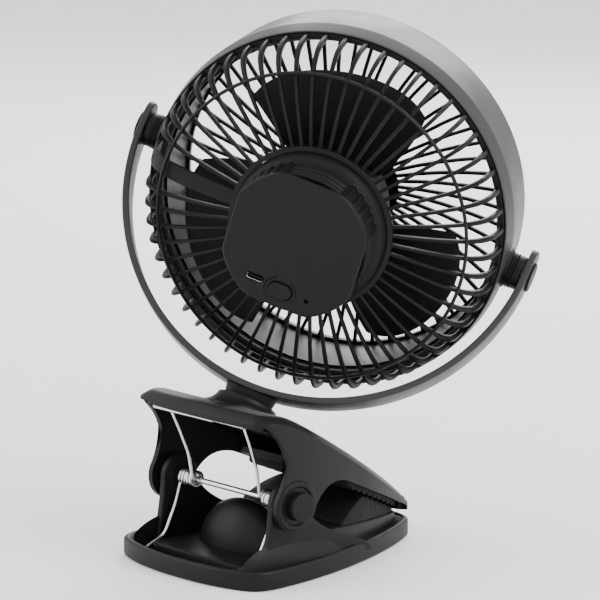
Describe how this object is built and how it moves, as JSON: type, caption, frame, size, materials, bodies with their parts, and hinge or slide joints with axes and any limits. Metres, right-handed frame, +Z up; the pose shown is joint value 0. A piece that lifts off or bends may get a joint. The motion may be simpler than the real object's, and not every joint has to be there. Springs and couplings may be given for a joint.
{
  "type": "desk fan",
  "caption": "Rechargeable desk fan: a round caged head that tilts in a swivelling half-ring yoke on a sprung clamp which is also its foot.",
  "frame": {"origin": "centre of the flat underside of the foot", "axes": "+Z up; +X along the clamp hinge; +Y from the finger handle to the jaw tips; the yoke and head are at rest swung round and tilted, blowing towards -X and +Y"},
  "size_m": [0.1924, 0.1852, 0.2776],
  "materials": {
    "black_plastic": "fine satin moulded black",
    "dark_plastic": "smooth moulded black, slightly duller",
    "grey_plastic": "satin charcoal grey",
    "rubber": "matt black moulded rubber",
    "spring_steel": "bright drawn wire",
    "fastener_steel": "plated",
    "motor_shell": "plated, drawn",
    "motor_windings": "enamelled wire on a laminated core",
    "cell_wrap": "shrink-wrapped cell",
    "board": "solder mask",
    "lens": "milky clear"
  },
  "bodies": {
    "base": {"lower_jaw": "black_plastic", "bottom_plate": "dark_plastic", "rubber_foot_1": "rubber", "rubber_foot_2": "rubber", "rubber_foot_3": "rubber", "rubber_foot_4": "rubber", "lower_pad": "rubber", "hinge_rod": "spring_steel", "spring_lower_left": "spring_steel", "spring_lower_right": "spring_steel"},
    "clamp_handle": {"upper_jaw": "black_plastic", "upper_pad": "rubber", "hinge_cap_left": "dark_plastic", "hinge_cap_right": "dark_plastic", "spring_upper": "spring_steel", "swivel_washer": "fastener_steel"},
    "yoke_body": {"yoke": "grey_plastic", "swivel_saddle": "dark_plastic", "swivel_screw": "fastener_steel", "tilt_cap_left": "dark_plastic", "tilt_cap_right": "dark_plastic"},
    "head": {"head_ring": "grey_plastic", "tilt_spacer_left": "dark_plastic", "tilt_spacer_right": "dark_plastic", "tilt_screw_left": "fastener_steel", "tilt_screw_right": "fastener_steel", "rear_guard": "black_plastic", "front_guard": "black_plastic", "front_badge": "grey_plastic", "rear_housing": "dark_plastic", "back_cover": "black_plastic", "usb_socket": "fastener_steel", "led_lens": "lens", "circuit_board": "board", "battery_cell_1": "cell_wrap", "battery_cell_2": "cell_wrap", "motor_stator": "motor_windings"},
    "rotor": {"motor_can": "motor_shell", "motor_shaft": "fastener_steel", "impeller": "dark_plastic"},
    "button": {"power_button": "black_plastic"}
  },
  "joints": [
    {"name": "clamp", "type": "hinge", "parent": "base", "child": "clamp_handle", "pos_m": [0, -0.035, 0.039], "axis": [1, 0, 0], "range_deg": [0, 30], "stiffness_Nm_per_rad": 1.6, "springref_deg": -45.84},
    {"name": "swivel", "type": "hinge", "parent": "clamp_handle", "child": "yoke_body", "pos_m": [0, -0.0266, 0.07836], "axis": [0, 0.5225, 0.8526], "continuous": true},
    {"name": "tilt", "type": "hinge", "parent": "yoke_body", "child": "head", "pos_m": [0, 0.03558, 0.17983], "axis": [0.7826, 0.5308, -0.3253], "continuous": true},
    {"name": "fan_spin", "type": "hinge", "parent": "head", "child": "rotor", "pos_m": [0, 0.03558, 0.17983], "axis": [-0.5068, 0.8467, 0.1622], "continuous": true},
    {"name": "button_press", "type": "slide", "parent": "head", "child": "button", "axis": [-0.5068, 0.8467, 0.1622], "range_m": [0, 0.0008], "stiffness_N_per_m": 1500, "springref_m": -0.0006}
  ]
}
